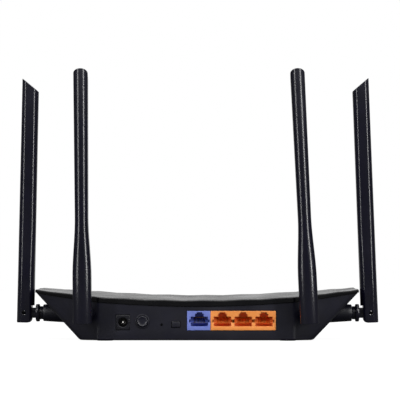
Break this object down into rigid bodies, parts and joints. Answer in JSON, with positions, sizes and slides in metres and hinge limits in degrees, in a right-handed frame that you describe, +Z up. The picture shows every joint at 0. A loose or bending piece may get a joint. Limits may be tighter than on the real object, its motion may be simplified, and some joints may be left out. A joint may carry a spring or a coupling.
{
  "type": "wireless router",
  "caption": "Low wide wireless router case with a faceted dished top, network sockets and buttons on its rear panel, and tall antennas on swivel-and-fold hinges.",
  "frame": {"origin": "on the surface the feet stand on, under the centre of the whole object's box", "axes": "+Z up, -Y out of the rear socket panel, +X to the right of someone facing that panel"},
  "size_m": [0.2596, 0.166, 0.1878],
  "materials": {
    "case": "black ABS, fine spark-eroded texture",
    "cover": "black ABS, semi-gloss",
    "antenna": "black thermoplastic, satin",
    "steel": "plated steel",
    "aluminium": "extruded",
    "gold": "gold-plated spring wire",
    "blue": "moulded blue thermoplastic",
    "orange": "moulded orange thermoplastic",
    "board": "green solder mask on glass-epoxy",
    "component": "black moulded epoxy",
    "rubber": "matt",
    "paper": "blank label film",
    "clear": "clear acrylic",
    "brass": "drawn tube",
    "lead": "coaxial jacket"
  },
  "bodies": {
    "case": {"bottom_case": "case", "top_cover": "cover", "power_inlet_pin": "steel", "radio_shield": "steel", "board_screw_1": "steel", "board_screw_2": "steel", "board_screw_3": "steel", "case_screw_1": "steel", "case_screw_2": "steel", "processor_heatsink": "aluminium", "wan_contacts": "gold", "lan_contacts_1": "gold", "lan_contacts_2": "gold", "lan_contacts_3": "gold", "wan_jack": "blue", "lan_jack": "orange", "main_board": "board", "power_inlet": "component", "power_switch": "component", "wps_switch": "component", "reset_switch": "component", "wan_transformer": "component", "lan_transformer": "component", "memory_chip": "component", "input_capacitor": "component", "output_capacitor": "component", "foot_1": "rubber", "foot_2": "rubber", "foot_3": "rubber", "foot_4": "rubber", "rating_label": "paper", "led_1": "paper", "led_2": "paper", "led_3": "paper", "led_4": "paper", "light_pipe": "clear", "coax_lead_rear_left": "lead", "coax_lead_rear_right": "lead", "coax_lead_side_left": "lead", "coax_lead_side_right": "lead"},
    "knuckle_rear_left": {"hinge_knuckle_rear_left": "antenna"},
    "antenna_rear_left": {"antenna_rear_left": "antenna", "hinge_pin_rear_left": "steel", "radiator_rear_left": "brass"},
    "knuckle_rear_right": {"hinge_knuckle_rear_right": "antenna"},
    "antenna_rear_right": {"antenna_rear_right": "antenna", "hinge_pin_rear_right": "steel", "radiator_rear_right": "brass"},
    "knuckle_side_left": {"hinge_knuckle_side_left": "antenna"},
    "antenna_side_left": {"antenna_side_left": "antenna", "hinge_pin_side_left": "steel", "radiator_side_left": "brass"},
    "knuckle_side_right": {"hinge_knuckle_side_right": "antenna"},
    "antenna_side_right": {"antenna_side_right": "antenna", "hinge_pin_side_right": "steel", "radiator_side_right": "brass"},
    "power_button": {"power_button": "case"},
    "wps_button": {"wps_button": "case"},
    "reset_plunger": {"reset_plunger": "case"}
  },
  "joints": [
    {"name": "swivel_rear_left", "type": "hinge", "parent": "case", "child": "knuckle_rear_left", "pos_m": [-0.07785, -0.064, 0.019], "axis": [0, 1, 0], "range_deg": [-89.5, 55.5]},
    {"name": "swivel_rear_right", "type": "hinge", "parent": "case", "child": "knuckle_rear_right", "pos_m": [0.07774, -0.064, 0.019], "axis": [0, 1, 0], "range_deg": [-52.3, 92.7]},
    {"name": "swivel_side_left", "type": "hinge", "parent": "case", "child": "knuckle_side_left", "pos_m": [-0.11066, -0.007, 0.019], "axis": [1, 0, 0], "range_deg": [-90, 90]},
    {"name": "swivel_side_right", "type": "hinge", "parent": "case", "child": "knuckle_side_right", "pos_m": [0.11055, -0.007, 0.019], "axis": [-1, 0, 0], "range_deg": [-90, 90]},
    {"name": "fold_rear_left", "type": "hinge", "parent": "knuckle_rear_left", "child": "antenna_rear_left", "pos_m": [-0.07785, -0.0777, 0.019], "axis": [1, 0, 0.0087], "range_deg": [0, 90]},
    {"name": "fold_rear_right", "type": "hinge", "parent": "knuckle_rear_right", "child": "antenna_rear_right", "pos_m": [0.07774, -0.0777, 0.019], "axis": [0.9989, 0, 0.0471], "range_deg": [0, 90]},
    {"name": "fold_side_left", "type": "hinge", "parent": "knuckle_side_left", "child": "antenna_side_left", "pos_m": [-0.12435, -0.007, 0.019], "axis": [0, -1, 0], "range_deg": [0, 91]},
    {"name": "fold_side_right", "type": "hinge", "parent": "knuckle_side_right", "child": "antenna_side_right", "pos_m": [0.12424, -0.007, 0.019], "axis": [0, 1, 0], "range_deg": [0, 92]},
    {"name": "power_button_press", "type": "slide", "parent": "case", "child": "power_button", "axis": [0, 1, 0], "range_m": [0, 0.0016], "stiffness_N_per_m": 1000, "springref_m": -0.0005},
    {"name": "wps_button_press", "type": "slide", "parent": "case", "child": "wps_button", "axis": [0, 1, 0], "range_m": [0, 0.0005], "stiffness_N_per_m": 1500, "springref_m": -0.0003},
    {"name": "reset_plunger_press", "type": "slide", "parent": "case", "child": "reset_plunger", "axis": [0, 1, 0], "range_m": [0, 0.0005], "stiffness_N_per_m": 1500, "springref_m": -0.0003}
  ]
}
